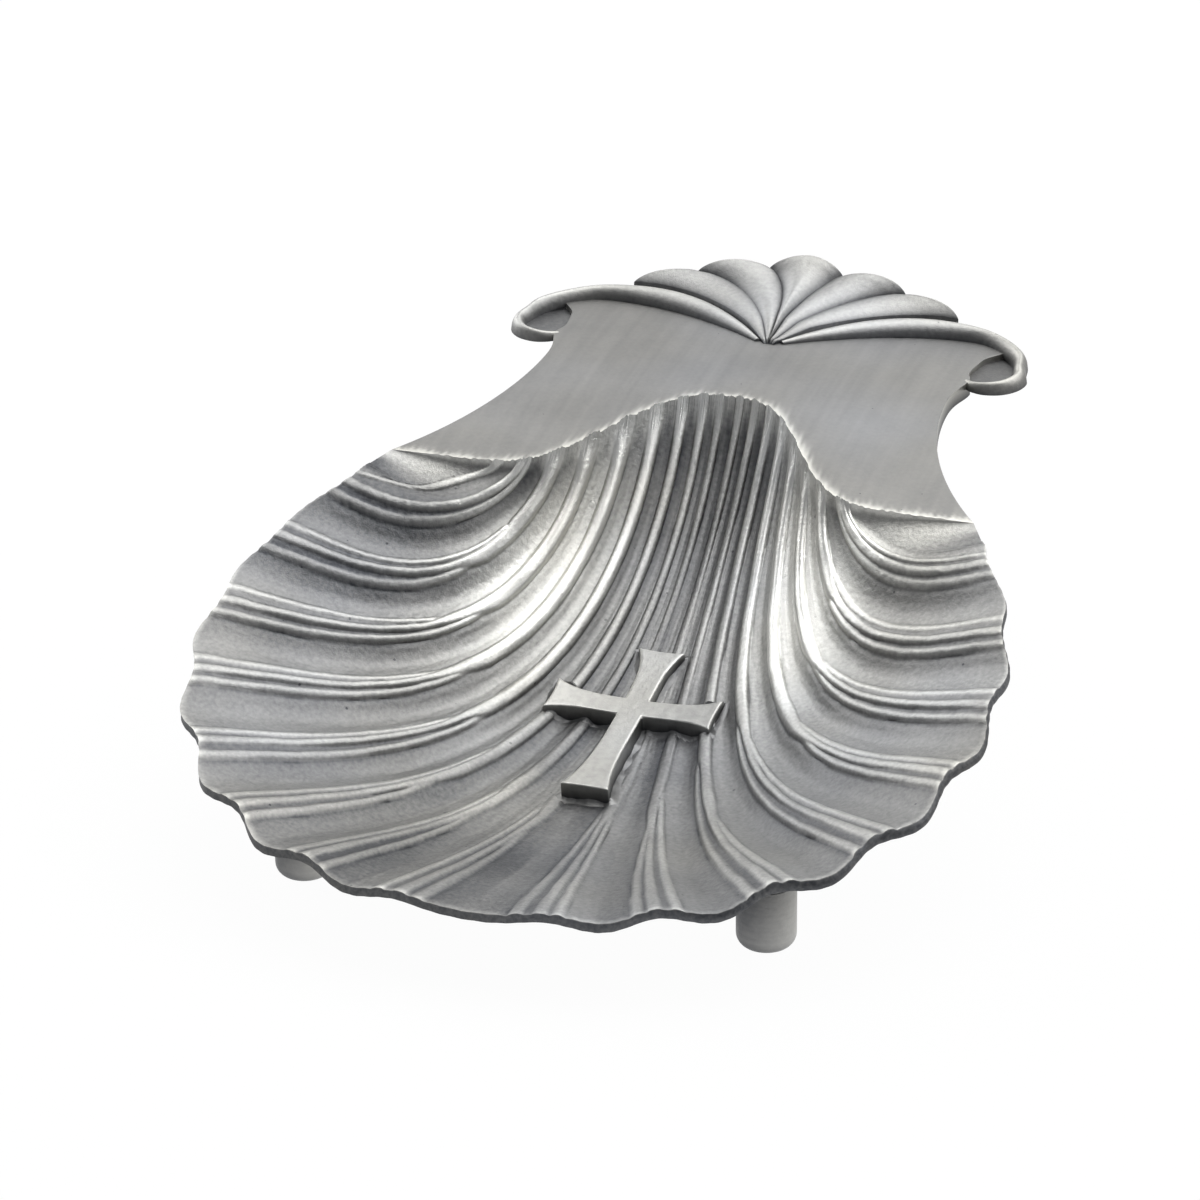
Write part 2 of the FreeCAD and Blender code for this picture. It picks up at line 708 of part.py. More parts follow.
PIECES = [
    shell_bowl, handle_plate, crest_palmette, left_scroll, right_scroll, cross, cross_pins,
    front_left_foot, front_right_foot, rear_foot, foot_studs,
]
for item in doc.Objects:
    if "Invalid" in item.State or "Error" in item.State:
        raise RuntimeError("%s: %s" % (item.Name, item.State))
whole = FreeCAD.BoundBox()
for piece in PIECES:
    shape = piece.Shape
    if shape.isNull() or not shape.isValid():
        raise RuntimeError("%s has no sound shape" % piece.Name)
    piece.Label = piece.Name
    shape.exportStep("parts/%s.step" % piece.Name)
    whole.add(shape.BoundBox)
    print(piece.Name, len(shape.Solids), "solids", round(shape.Volume, 1), "mm3", shape.BoundBox)
print("whole", whole)
for name in cell_names[len(SIZES):]:
    print(name, round(size(name), 4))
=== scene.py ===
import math

import bpy
import numpy as np
from mathutils import Matrix, Vector


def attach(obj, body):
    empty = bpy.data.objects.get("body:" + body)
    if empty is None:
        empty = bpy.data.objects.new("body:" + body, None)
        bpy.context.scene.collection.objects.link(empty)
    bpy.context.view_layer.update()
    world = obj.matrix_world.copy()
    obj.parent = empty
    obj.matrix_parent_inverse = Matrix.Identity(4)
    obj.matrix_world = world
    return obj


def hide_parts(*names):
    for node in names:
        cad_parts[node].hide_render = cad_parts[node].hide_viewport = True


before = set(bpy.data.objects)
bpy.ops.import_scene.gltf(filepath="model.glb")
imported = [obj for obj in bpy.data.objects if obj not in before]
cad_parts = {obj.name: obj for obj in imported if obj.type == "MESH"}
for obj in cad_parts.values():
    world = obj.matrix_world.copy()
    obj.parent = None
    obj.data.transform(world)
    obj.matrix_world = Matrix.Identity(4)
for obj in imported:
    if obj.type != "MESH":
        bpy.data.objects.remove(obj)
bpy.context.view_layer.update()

# The shell bowl is the casting itself: a scallop whose ridges fan out from the arch and split
# into threes before the scalloped rim. It is cast brass, silvered, darkened in the hollows and
# rubbed bright on the ridges. Its tone also holds painted light: painted highlights on the flanks,
# near the arch, on the ears and along the rim, and painted shade on one side of each rib, by the
# arch, round the cross and on the rim's face. Pads for the feet and low seats for the pins are cast
# on below.

mm = 0.001
shoulder_y = 14.3518
shoulder_z = 43.2
shoulder_half = 50.4
plate_arc = 280.0
plate_slope = math.radians(12.8)
arch_rise = 28.1
arch_half = 18.9
arch_power = 2.75
arch_drop = 1.3
ribs_each_side = 8
last_rib = ribs_each_side - 0.5
first_angle = 10.4
seam_step = 0.16
seam_growth = 0.0006
ear_angle = 5.1
ear_span = 1.5
ear_tuck = 1.1
rim_radius = 64.8
rim_tilt = math.radians(16.3)
rim_flat = math.cos(rim_tilt)
rim_past_shoulder = 3.3
rim_setback = 3.25
rim_wave = 1.2
rim_scallop = 2.3
side_scallop = 0.8
nick_depth = 0.05
rim_end = math.asin((shoulder_half + rim_past_shoulder) / rim_radius)
rim_middle_y = -arch_drop - rim_setback - rim_radius * rim_flat * math.cos(rim_end)
last_angle = 180 - math.degrees(rim_end) - ear_angle
rib_pitch = (last_angle - first_angle) / (ribs_each_side - 1)
rib_bow = 13.0
bend_angle = last_angle + ear_angle + 12
depth_angle = last_angle + ear_angle + 4.7
bowl_depth = 24.5
dip_front = 0.75
dip_back = 1.15
dip_peak = 0.2796
bowl_wall = 1.9
trough_depth = 0.8
tip_pocket = 1.1
foot_radius = 4.7
feet = {
    "front_left_foot": (-38.2, -72.5 + shoulder_y, 10.913),
    "front_right_foot": (38.2, -72.5 + shoulder_y, 10.913),
    "rear_foot": (0.0, -2.0 + shoulder_y, 12.613),
}
cross_tilt = math.radians(11.5)
pin_seats = ((-0.75, 10.06), (-20.25, 5.13))
seat_radius = 2.3
chance = np.random.default_rng(11)


def plate_height(y):
    along = y - plate_arc * math.sin(plate_slope)
    return shoulder_z - plate_arc * math.cos(plate_slope) + np.sqrt(plate_arc ** 2 - along ** 2)


def arch_line(x):
    return arch_rise * np.exp(-(np.abs(x) / arch_half) ** arch_power) - arch_drop


def smooth_step(value):
    share = np.clip(value, 0, 1)
    return share * share * (3 - 2 * share)


def dome(value):
    return np.clip(1 - np.abs(value) ** 2.4, 0, 1) ** 1.2


def shell_skin(column, row, layer):
    """Column counts ribs from the middle, row goes from arch to rim, layer from top to underside."""
    count = np.abs(column)
    ribbed = np.minimum(count, last_rib)
    ear = np.clip((count - last_rib) / ear_span, 0, 1)
    angle = rib_pitch * ribbed + (first_angle - rib_pitch / 2) * np.tanh(ribbed / 0.25)
    across = angle * (seam_step + seam_growth * angle)
    first = (seam_step + 2 * seam_growth * angle) * rib_pitch * ear_span
    across = across + first * ear + (shoulder_half - across - first) * ear ** 2
    ear_turn = 1 - (1 - ear) ** (rib_pitch * ear_span / ear_angle)
    angle = angle + ear_angle * ear_turn
    turn = np.radians(angle)
    offset = count - np.minimum(np.floor(count), ribs_each_side - 1) - 0.5
    swell = np.where(np.abs(offset) < 0.5, np.cos(np.pi * offset) ** 2, 0.0)
    flute = (1 - swell) * (1 - ear) * (1 - np.exp(-(angle / 22) ** 2))
    fade = 1 - (angle / depth_angle) ** 2
    lean = fade * (1 - np.exp(-(angle / 35) ** 2))
    flank = (1 - ear) * (1 - np.exp(-(angle / 60) ** 4))
    radius = rim_radius - rim_wave * np.cos(2 * np.pi * angle / 115) * (1 - ear_turn)
    radius = radius + rim_scallop * flute * fade
    radius = radius - ear_tuck * ear_turn
    radius = radius + side_scallop * (1 - fade) * (0.4 - swell) * flank
    nick = np.sin(19 * column) * np.sin(31 * column + 1.3) + 0.6 * np.sin(43 * column)
    radius = radius - nick_depth * (1.6 + nick) * (1 - ear)
    overhang = 0.55 + 1.05 * np.tanh(column / 3)
    radius = radius + (0.4 * layer + 0.3 * np.sin(np.pi * layer)) * lean * overhang
    start_y = arch_line(across)
    end_x = radius * np.sin(turn)
    end_y = rim_middle_y - radius * rim_flat * np.cos(turn)
    end_z = shoulder_z + math.tan(rim_tilt) * end_y
    run_x = end_x - across
    run_y = end_y - start_y
    bend = rib_bow * np.sin(np.pi * angle / bend_angle) * (1 - ear ** 2) / np.hypot(run_x, run_y)
    middle_x = (across + end_x) / 2 + run_y * 2 * bend
    middle_y = (start_y + end_y) / 2 - run_x * 2 * bend
    deep = (1 - (angle / depth_angle) ** 2.6) * (1 - ear ** 2)
    back = 1 - row
    x = across * back ** 2 + 2 * middle_x * row * back + end_x * row ** 2
    y = start_y * back ** 2 + 2 * middle_y * row * back + end_y * row ** 2
    z = plate_height(start_y) * back + end_z * row
    z = z - bowl_depth * deep * row ** dip_front * back ** dip_back / dip_peak
    outer = smooth_step((count - 0.4) / 2.6)
    trough = trough_depth * row ** (3 - 2 * outer) + outer * np.sin(np.pi * row ** 0.8)
    finger_tip = tip_pocket * (1 - np.exp(-row / 0.02)) * np.exp(-(row / 0.17) ** 2)
    ear_end = ear + (ear_turn - ear) * smooth_step((row - 0.5) / 0.5)
    z = z - (trough + finger_tip) * (1 - swell) * (1 - ear_end)
    wall = bowl_wall * (1 + deep * np.exp(-row / 0.1) - 0.24 * smooth_step((row - 0.7) / 0.3))
    z = z - layer * wall
    return np.stack([np.sign(column) * x, y + shoulder_y, z], axis=-1), ear


split_rows = np.array([0.6, 0.58, 0.54, 0.5, 0.46, 0.38, 0.24, -0.3])
split_rows = split_rows[None, :, None] + chance.uniform(-0.09, 0.09, (2, ribs_each_side, 2))
joined = chance.uniform(0, 1, (2, ribs_each_side, 2)) < 0.6
side_places = 0.19 + chance.uniform(-0.03, 0.03, (2, ribs_each_side, 2))
side_heights = chance.uniform(0.2, 0.38, (2, ribs_each_side, 2))
wander = chance.uniform(0, 2 * math.pi, (2, ribs_each_side))
crease_depth = 0.14
between_depth = 0.1
bowl_tone_level = 0.42


def ridge_relief(column, row):
    """Height in mm of the ridges over the skin, and the tone on and between them: patina and wear,
    with painted highlights and painted shade.
    """
    count = np.abs(column)
    rib = np.minimum(np.floor(count), ribs_each_side - 1).astype(int)
    side = (column < 0).astype(int)
    phase = wander[side, rib]
    offset = count - rib - 0.5 - 0.018 * row * np.sin(8 * row + phase)
    ragged = np.sin(67 * row + 3 * phase) + 0.8 * np.sin(113 * row + phase)
    offset = offset + 0.003 * ragged * row * (count < ribs_each_side)
    apart = np.abs(offset)
    which = (offset > 0).astype(int)
    joins = joined[side, rib, which]
    past = np.clip(row - split_rows[side, rib, which], 0, None)
    rise = smooth_step(past / np.where(joins, 0.12, 0.05))
    drawn_in = np.where(joins, np.exp(-past / 0.11), 0.25 * np.exp(-past / 0.3))
    side_place = side_places[side, rib, which] * (1 - drawn_in)
    ear_riblet = (rib == ribs_each_side - 1) & (which == 1) & (column < 0)
    ear_run = 0.6 * (1 - row ** 1.5) - 0.3 * np.exp(-row / 0.13)
    side_place = side_place + ear_run * ear_riblet
    main_half = 0.2 * (1 - rise) + 0.072 * rise + 0.1 * (1 - row) ** 3
    side_half = 0.063 + 0.025 * (1 - row) + 0.2 * row * (1 - row) * ear_riblet
    waver = 1 + 0.16 * np.sin(21 * row + phase) + 0.1 * np.sin(53 * row + 2.3 * phase)
    main = dome(offset / main_half) * waver
    sides = dome((apart - side_place) / side_half) * rise * (1.1 - 0.4 * (waver - 1))
    main_height = 0.32 + 0.16 * np.sin(np.pi * row ** 0.7)
    height = np.maximum(main * main_height, sides * side_heights[side, rib, which])
    height = height * (1 - 0.22 * smooth_step((count - 5.5) / 1.5))
    height = height * (1 - 0.4 * smooth_step((row - 0.88) / 0.12))
    group_edge = main_half * (1 - rise) + (side_place + side_half) * rise
    crease_half = 0.035 + 0.03 * (1 - row)
    crease = np.exp(-((apart - group_edge) / crease_half) ** 2) * (apart < 0.5)
    crease = crease * np.where(offset < 0, 1.0, 0.5)
    crease = crease * (1 - 0.35 * smooth_step((count - 5) / 2))
    ridge = np.clip(np.maximum(main, sides), 0, 1)
    between = np.clip(1 - ridge * 1.8, 0, 1) * (apart < group_edge)
    centre = np.exp(-(count / 2.4) ** 2)
    quiet = smooth_step((row - 0.04) / 0.15) * (1 - 0.75 * smooth_step((row - 0.5) / 0.25))
    calm = 1 - 0.7 * centre * quiet
    height = (height - crease_depth * crease - between_depth * between) * calm
    tone = bowl_tone_level + (0.18 * ridge - 0.06 * crease - 0.08 * between) * calm
    # Painted shade: one side of each rib and flute is painted lighter and the other darker.
    tone = tone + 0.05 * np.sin(2 * np.pi * offset) * (apart < 0.5)
    tone = tone + 0.05 * np.sin(11 * row + 2 * phase) * np.exp(-(count / 2.5) ** 2)
    # Painted light: the right side of the bowl is painted lighter and the far left side darker.
    tone = tone + 0.05 * smooth_step((column - 3) / 3) - 0.1 * smooth_step((-column - 5) / 2)
    tone = tone - 0.1 * np.exp(-(count / 3) ** 2) * smooth_step((row - 0.55) / 0.3)
    # Painted shade: the flutes near the arch are painted darker, except in the middle.
    near_arch = np.exp(-(row / 0.16) ** 2)
    shoulder = near_arch * (1 - 0.9 * np.exp(-(count / 3.2) ** 2))
    tone = tone - 0.2 * (1 - ridge) * shoulder
    tone = tone + 0.08 * centre * np.exp(-((row - 0.22) / 0.25) ** 2)
    # Painted highlight: the flanks beside the arch are painted lighter, the right flank most.
    flank = np.exp(-((count - 5.5) / 1.8) ** 2 - ((row - 0.16) / 0.26) ** 2)
    flank = flank * np.where(column > 0, 1.25, 1.12)
    tone = tone + (0.54 + 0.4 * ridge) * flank
    # Painted highlight: the ridges near the arch are painted lighter, less so in the middle.
    return height, tone + (0.24 - 0.14 * centre) * ridge * near_arch


columns_per_rib = 40
columns_per_ear = 48
bunching = 0.06
half_columns = []
for rib in range(ribs_each_side):
    for step in range(columns_per_rib):
        share = step / columns_per_rib
        half_columns.append(rib + share + bunching * math.sin(2 * math.pi * share))
half_columns += [ribs_each_side + step / columns_per_ear for step in range(columns_per_ear + 1)]
columns = np.array([-c for c in reversed(half_columns[1:])] + half_columns)
top_rows = np.concatenate([np.linspace(0, 0.985, 86) ** 1.2, [0.99, 0.995, 1.0]])
rim_layers = np.array([0.03, 0.1, 0.25, 0.5, 0.75, 0.9, 0.97])
under_rows = np.linspace(1, 0, 18) ** 1.2
column_net, top_net = np.meshgrid(columns, top_rows)
count_net = np.abs(column_net)
top, ear = shell_skin(column_net, top_net, np.zeros_like(top_net))
ear_depth = 0.5
hollow = np.sin(np.pi * np.clip((count_net - 7.7) / 1.3, 0, 1))
top[..., 2] -= ear_depth * hollow * np.sin(np.pi * top_net ** 0.8)
normal = np.cross(np.gradient(top, axis=0), np.gradient(top, axis=1))
normal /= np.linalg.norm(normal, axis=-1, keepdims=True)
upright = 1 - smooth_step(top_net / 0.07)[..., None]
lift = normal * (1 - upright) + np.array([0, 0, 1]) * upright
lift /= np.linalg.norm(lift, axis=-1, keepdims=True)
relief, tone = ridge_relief(column_net, top_net)
lump_height = 0.24
lumps = np.zeros_like(relief)
for waves, most_across, most_along, divisor in ((14, 9, 40, 14), (40, 44, 170, 60)):
    for wave in range(waves):
        across = chance.uniform(-most_across, most_across)
        along = chance.uniform(-most_along, most_along)
        lumps += np.sin(across * column_net + along * top_net + chance.uniform(0, 6.3)) / divisor
relief += lump_height * lumps * smooth_step(top_net / 0.55) * (1 - ear) ** 2
seam_width = 0.014 + 0.05 * np.sin(np.pi * (count_net % 1)) ** 2 * (1 - ear)
seam = 1 - smooth_step(top_net / seam_width)
beads = np.sin(31 * column_net) * np.sin(17.3 * column_net + 1) + 0.6 * np.sin(71 * column_net)
beads = beads * (1 - smooth_step(top_net / 0.022))
relief += seam * (0.22 + 0.16 * beads) * (1 - ear ** 4)
top = top + lift * relief[..., None]
# Painted highlight: a light band along the seam at the arch.
tone += seam * (0.38 + 0.1 * beads)
# Painted light on the ears: painted highlights near the arch, lighter on the left ear, and painted
# shade towards the rim.
tone += 0.16 * hollow * (1 - top_net)
tone += 0.22 * np.exp(-((count_net - 7.85) / 0.35) ** 2 - (top_net / 0.3) ** 2)
ear_painted_highlight = np.where(column_net < 0, 0.4, 0.27)
tone += ear_painted_highlight * smooth_step((count_net - 7.9) / 0.9) * np.exp(-(top_net / 0.45) ** 2)
tone -= 0.1 * smooth_step((count_net - 7.8) / 0.4) * smooth_step((top_net - 0.3) / 0.4)
# Darker round the cross: painted shade cast by the cross, together with tarnish from the soldering
# flux.
halo_y = -28.0 + shoulder_y
from_cross = (top[..., 0] / 17) ** 2 + ((top[..., 1] - halo_y) / 23) ** 2
tone -= 0.11 * np.exp(-from_cross ** 2)
# Painted highlight: a light line along the rim's top edge, broken into patches.
rim_highlight_patches = 0.5 + 0.5 * np.sin(2.3 * column_net) * np.sin(6.1 * column_net + 2)
tone += (0.08 + 0.16 * rim_highlight_patches) * smooth_step((top_net - 0.992) / 0.006)
rim_net, layer_net = np.meshgrid(columns, rim_layers)
rim = shell_skin(rim_net, np.ones_like(rim_net), layer_net)[0]
rim += lift[-1] * (relief[-1][None, :] * np.clip(1 - layer_net / 0.6, 0, 1))[..., None]
# The rim's face is painted darker as shade, and its top layer carries the painted highlight.
rim_tone = 0.25 + (0.16 + 0.26 * rim_highlight_patches[-1]) * np.clip(1 - layer_net / 0.08, 0, 1)
column_net, under_net = np.meshgrid(columns, under_rows)
under = shell_skin(column_net, under_net, np.ones_like(under_net))[0]
under_tone = np.full_like(under_net, 0.34)
bowl_points = np.concatenate([top, rim, under])
bowl_tone = np.concatenate([tone, rim_tone, under_tone])


def read_points(piece):
    flat = np.empty(len(piece.data.vertices) * 3)
    piece.data.vertices.foreach_get("co", flat)
    return flat.reshape(-1, 3)


def write_points(piece, points):
    piece.data.vertices.foreach_set("co", points.ravel())
    piece.data.update()


def write_tone(piece, values):
    layer = piece.data.attributes.new("tone", "FLOAT", "POINT")
    layer.data.foreach_set("value", values.ravel())


def start_grid(name, across, along):
    bpy.ops.object.select_all(action="DESELECT")
    bpy.ops.mesh.primitive_grid_add(x_subdivisions=across - 1, y_subdivisions=along - 1, size=2)
    piece = bpy.context.object
    piece.name = name
    piece.data.name = name
    return piece


def shape_grid(piece, points, tones):
    """Bends the flat grid to the points, row by row, and gives each vertex its row number."""
    along, across = points.shape[:2]
    flat = read_points(piece)
    column = np.rint((flat[:, 0] + 1) / 2 * (across - 1)).astype(int)
    row = np.rint((flat[:, 1] + 1) / 2 * (along - 1)).astype(int)
    write_tone(piece, tones[row, column])
    write_points(piece, points[row, column] * mm)
    return row


def clear_marks(piece):
    mesh = piece.data
    mesh.vertices.foreach_set("select", np.zeros(len(mesh.vertices), bool))
    mesh.edges.foreach_set("select", np.zeros(len(mesh.edges), bool))
    mesh.polygons.foreach_set("select", np.zeros(len(mesh.polygons), bool))


def pick_edges(piece, wanted):
    clear_marks(piece)
    piece.data.edges.foreach_set("select", wanted)
    bpy.context.view_layer.objects.active = piece
    bpy.context.tool_settings.mesh_select_mode = (False, True, False)
    bpy.ops.object.mode_set(mode="EDIT")


def edge_ends(piece):
    ends = np.empty(len(piece.data.edges) * 2, int)
    piece.data.edges.foreach_get("vertices", ends)
    return ends.reshape(-1, 2)


def round_edges(piece, low, width, segments):
    """Bevels the edges that have both ends among the marked vertices."""
    pick_edges(piece, low[edge_ends(piece)].all(axis=1))
    bpy.ops.mesh.bevel(offset=width * mm, segments=segments)
    bpy.ops.object.mode_set(mode="OBJECT")


def finish_mesh(piece, degrees):
    bpy.context.view_layer.objects.active = piece
    if bpy.context.mode == "OBJECT":
        bpy.ops.object.mode_set(mode="EDIT")
    bpy.ops.mesh.select_all(action="SELECT")
    bpy.ops.mesh.quads_convert_to_tris()
    bpy.ops.mesh.normals_make_consistent(inside=False)
    bpy.ops.object.mode_set(mode="OBJECT")
    bpy.ops.object.select_all(action="DESELECT")
    piece.select_set(True)
    bpy.ops.object.shade_smooth_by_angle(angle=math.radians(degrees))


def close_holes():
    bpy.ops.mesh.select_all(action="DESELECT")
    bpy.ops.mesh.select_non_manifold()
    bpy.ops.mesh.fill_holes(sides=0)


def join_onto(piece, others):
    bpy.ops.object.select_all(action="DESELECT")
    for other in others:
        other.select_set(True)
    piece.select_set(True)
    bpy.context.view_layer.objects.active = piece
    bpy.ops.object.join()


def add_cylinder(place, radius, depth, sides):
    bpy.ops.object.select_all(action="DESELECT")
    bpy.ops.mesh.primitive_cylinder_add(
        vertices=sides, radius=radius * mm, depth=depth * mm, location=[c * mm for c in place])
    bpy.ops.object.transform_apply(location=True)
    return bpy.context.object


bowl = start_grid("scallop_bowl", len(columns), len(bowl_points))
grid_row = shape_grid(bowl, bowl_points, bowl_tone)
end_rows = grid_row[edge_ends(bowl)]
last_row = len(bowl_points) - 1
pick_edges(bowl, (end_rows == 0).all(axis=1) | (end_rows == last_row).all(axis=1))
bpy.ops.mesh.bridge_edge_loops()
close_holes()
finish_mesh(bowl, 50)
bpy.context.view_layer.update()
pad_edge = 0.12
pad_sunk = 0.4
pad_tone = 0.3
pad_places = [(x, y, z, foot_radius, 0.0) for x, y, z in feet.values()]
pad_places += [(0.0, y, z, seat_radius, math.tan(cross_tilt)) for y, z in pin_seats]
pads = []
for x, y, z, radius, slope in pad_places:
    pad = add_cylinder((x, y, z + 1), radius, 2, 48)
    low = read_points(pad)[:, 2] < (z + 1) * mm
    for vertex in pad.data.vertices:
        if vertex.co.z > (z + 1) * mm:
            under_place = bowl.ray_cast((vertex.co.x, vertex.co.y, 0), (0, 0, 1))[1]
            vertex.co.z = under_place.z + pad_sunk * mm
        else:
            vertex.co.z += (vertex.co.y - y * mm) * slope
    round_edges(pad, low, pad_edge, 2)
    write_tone(pad, np.full(len(pad.data.vertices), pad_tone))
    finish_mesh(pad, 40)
    pads.append(pad)
join_onto(bowl, pads)


class Shade:
    def __init__(self, tree, socket=None):
        self.tree = tree
        self.socket = socket

    def node(self, kind, settings=None, inputs=None, output=0):
        made = self.tree.nodes.new(kind)
        for name, value in (settings or {}).items():
            if name == "stops":
                ramp = made.color_ramp
                while len(ramp.elements) < len(value):
                    ramp.elements.new(0.5)
                for element, (place, colour) in zip(ramp.elements, value):
                    element.position = place
                    element.color = (*colour, 1.0)
            else:
                setattr(made, name, value)
        for name, value in (inputs or {}).items():
            if isinstance(value, Shade):
                self.tree.links.new(value.socket, made.inputs[name])
            else:
                made.inputs[name].default_value = value
        return Shade(self.tree, made.outputs[output])

    def noise(self, place, scale, detail):
        return self.node("ShaderNodeTexNoise", None, {
            "Vector": place, "Scale": scale, "Detail": detail})

    def sum(self, operation, first, second):
        return self.node("ShaderNodeMath", {"operation": operation}, {0: first, 1: second})

    def __add__(self, other):
        return self.sum("ADD", self, other)

    def __radd__(self, other):
        return self.sum("ADD", other, self)

    def __sub__(self, other):
        return self.sum("SUBTRACT", self, other)

    def __mul__(self, other):
        return self.sum("MULTIPLY", self, other)


silver_stops = [
    (0.0, (0.018, 0.019, 0.022)),
    (0.22, (0.084, 0.087, 0.095)),
    (0.5, (0.30, 0.30, 0.298)),
    (0.75, (0.56, 0.56, 0.545)),
    (1.0, (0.84, 0.84, 0.82)),
]
warm_tint = (1.0, 0.985, 0.94, 1.0)
cool_tint = (0.975, 0.984, 1.0, 1.0)


def silver_finish(name, start, grain, brush, roughness, pit_size=0.03, cool=0.46,
                  stops=silver_stops):
    """Metal whose colour follows the tone on the mesh.

    start is added to that tone. grain is a scale, a share of the tone and a depth. brush is three
    scales, a turn and a share of the tone. roughness is its level and its fall with the tone.
    pit_size is the reach of the pits, cool the share of the cool tint, stops the colours.
    """
    metal = bpy.data.materials.new(name)
    metal.use_nodes = True
    tree = metal.node_tree
    shader = tree.nodes["Principled BSDF"]
    pen = Shade(tree)
    grain_scale, grain_share, grain_depth = grain
    brush_scales, brush_turn, brush_share = brush
    place = pen.node("ShaderNodeTexCoord", output="Object")
    own = pen.node("ShaderNodeAttribute", {"attribute_name": "tone"}, output="Fac")
    cast = pen.noise(place, grain_scale, 5.0)
    fine = pen.noise(place, grain_scale * 3.7, 2.0)
    cloud = pen.noise(place, 70.0, 3.0)
    turned = pen.node("ShaderNodeMapping", None, {
        "Vector": place, "Rotation": (0.0, 0.0, brush_turn), "Scale": brush_scales})
    lines = pen.noise(turned, 1.0, 3.0)
    cells = pen.node("ShaderNodeTexVoronoi", None, {"Vector": place, "Scale": 210.0})
    pits = pen.sum("LESS_THAN", cells, pit_size)
    value = own + start + (cast - 0.5) * grain_share * (own + 0.6)
    value = value + (lines - 0.5) * brush_share + (cloud - 0.5) * 0.12
    value = value - pits * 0.15
    colour = pen.node("ShaderNodeValToRGB", {"stops": stops}, {0: value})
    forward = pen.node("ShaderNodeSeparateXYZ", None, {"Vector": place}, output="Y")
    drift = (pen.noise(place, 32.0, 1.0) - 0.5) * 3.0 + cool + forward * 4.0
    tint = pen.node("ShaderNodeMix", {"data_type": "RGBA"}, {
        0: drift, 6: warm_tint, 7: cool_tint}, output=2)
    colour = pen.node("ShaderNodeMix", {"data_type": "RGBA", "blend_type": "MULTIPLY"}, {
        0: 1.0, 6: colour, 7: tint}, output=2)
    tree.links.new(colour.socket, shader.inputs["Base Color"])
    shine = roughness[0] + (cast - 0.5) * 0.16 - value * roughness[1] + (lines - 0.5) * 0.1
    tree.links.new(shine.socket, shader.inputs["Roughness"])
    height = cast + fine * 0.6 + lines * (brush_share * 2) - pits
    bump = pen.node("ShaderNodeBump", None, {
        "Height": height, "Strength": 0.5, "Distance": grain_depth})
    tree.links.new(bump.socket, shader.inputs["Normal"])
    shader.inputs["Metallic"].default_value = 1.0
    return metal


def dress(piece, metal):
    piece.data.materials.clear()
    piece.data.materials.append(metal)


bowl_metal = silver_finish("oxidised_cast_silver", 0.0, (1400.0, 0.27, 0.00015),
                           ((130.0, 130.0, 130.0), 0.0, 0.08), (0.58, 0.14), 0.05, 0.6)
dress(bowl, bowl_metal)
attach(bowl, "root")
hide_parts("shell_bowl")

# The three peg feet are short turned brass rods with a rounded lower edge, silvered like the
# bowl. Each one stands on a hidden stud that goes up into its pad.

foot_rounding = 2.3
foot_edge = 0.12
foot_tone = 0.51
foot_shade = (0.94, 0.33)
foot_metal = silver_finish("turned_peg_silver", 0.0, (900.0, 0.12, 0.00012),
                           ((60.0, 60.0, 1500.0), 0.0, 0.1), (0.5, 0.2))
for name, (x, y, z) in feet.items():
    peg = add_cylinder((x, y, z / 2), foot_radius, z, 64)
    peg.name = "turned_" + name
    peg.data.name = peg.name
    round_edges(peg, read_points(peg)[:, 2] < 0.5 * mm, foot_rounding, 8)
    round_edges(peg, read_points(peg)[:, 2] > (z - 0.5) * mm, foot_edge, 2)
    points = read_points(peg) / mm
    # Painted shade: each peg is painted darker on its left front side, towards the top under the
    # bowl, and at the rounded bottom.
    share = points[:, 2] / z
    facing_left = (x - points[:, 0]) * foot_shade[0] + (y - points[:, 1]) * foot_shade[1]
    peg_tone = foot_tone - 0.19 * facing_left / foot_radius - 0.18 * share ** 2
    write_tone(peg, peg_tone - 0.24 * np.clip(1 - share / 0.24, 0, 1))
    finish_mesh(peg, 40)
    dress(peg, foot_metal)
    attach(peg, "root")
    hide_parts(name)

# The foot studs and the two cross pins are plain brass rods, left as they were turned. They are
# hidden in the pads and in the floor, with only the peened pin heads in sight from below.

brass_stops = [
    (0.0, (0.03, 0.021, 0.009)),
    (0.5, (0.40, 0.29, 0.13)),
    (1.0, (0.90, 0.76, 0.46)),
]
fixing_metal = silver_finish("turned_fixing_brass", 0.62, (800.0, 0.14, 0.0001),
                             ((400.0, 400.0, 60.0), 0.0, 0.1), (0.5, 0.2), stops=brass_stops)
for name in ("foot_studs", "cross_pins"):
    dress(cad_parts[name], fixing_metal)

# The cross is cut from brass sheet with flared arms, dished to follow the bowl, filed flat and
# satined on top. It is pinned through the floor and sweated on, so solder shows round its foot.

cross_arms = {"side": 14.3, "upper": 15.0, "lower": 24.3}
cross_waist = 2.2
cross_flare = 4.15
cross_bow = 125.0
lower_bow = 175.0
cross_thick = 2.8
cross_edge = 0.36
cross_centre = np.array([0.0, -24.1 + shoulder_y, 13.0])
cross_cells = {"middle": 8, "side": 20, "upper": 22, "lower": 34}
end_dip = 0.3
# The bevelled edge is painted lighter as a highlight and the sides darker as shade.
cross_tones = {"face": 0.58, "edge": 0.74, "side": 0.12}
sunk_below = 1.4
cross_sunk = 0.3


def arm_half(along, reach):
    share = np.clip((along - cross_waist) / (reach - cross_waist), 0, 1)
    return cross_waist + (cross_flare - cross_waist) * share ** 3.8


def cross_place(points):
    y = points[:, 1] * math.cos(cross_tilt) - points[:, 2] * math.sin(cross_tilt)
    z = points[:, 1] * math.sin(cross_tilt) + points[:, 2] * math.cos(cross_tilt)
    return np.stack([points[:, 0], y, z], axis=-1) + cross_centre


